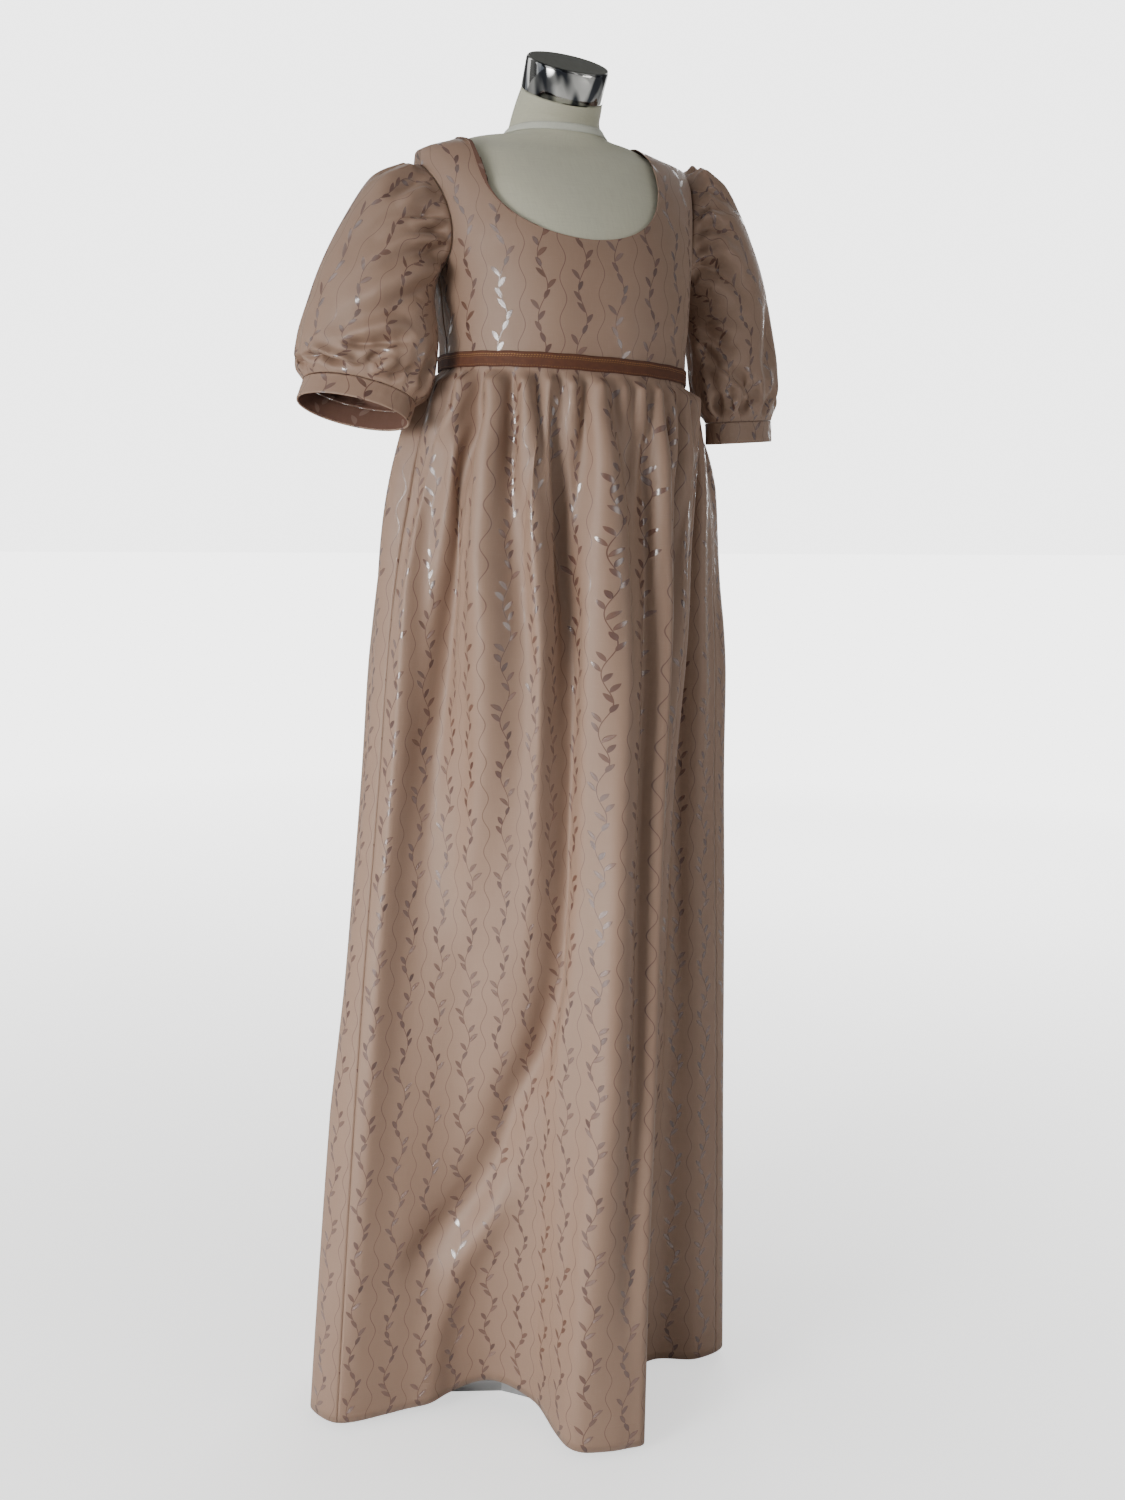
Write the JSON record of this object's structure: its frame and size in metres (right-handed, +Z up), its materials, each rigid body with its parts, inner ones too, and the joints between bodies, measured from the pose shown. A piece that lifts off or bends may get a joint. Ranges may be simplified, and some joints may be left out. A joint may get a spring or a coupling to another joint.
{
  "type": "regency gown on a dress form",
  "caption": "High-waisted regency gown in rose-taupe leaf jacquard, with short gathered puff sleeves, a scooped neck and a ribbon waist, standing on a limbless dress form.",
  "frame": {"origin": "on the floor, under the middle of the gown's box", "axes": "+Z up, the gown faces -Y, its wearer's left at +X"},
  "size_m": [0.5923, 0.4298, 1.5893],
  "materials": {
    "jacquard": "satin jacquard with woven leaf vines",
    "ribbon": "grosgrain with fine gold lines",
    "form_linen": "smooth matt linen",
    "neck_tape": "woven tape",
    "chrome": "polished",
    "stand_steel": "brushed"
  },
  "bodies": {
    "root": {"bodice_front": "jacquard", "bodice_back_right": "jacquard", "bodice_back_left": "jacquard", "sleeve_right": "jacquard", "sleeve_left": "jacquard", "cuff_right": "jacquard", "cuff_left": "jacquard", "skirt_front": "jacquard", "skirt_back": "jacquard", "waist_ribbon": "ribbon", "form_torso": "form_linen", "neck_tape": "neck_tape", "neck_cap": "chrome", "stand_pole": "stand_steel", "stand_base": "stand_steel"}
  },
  "joints": []
}
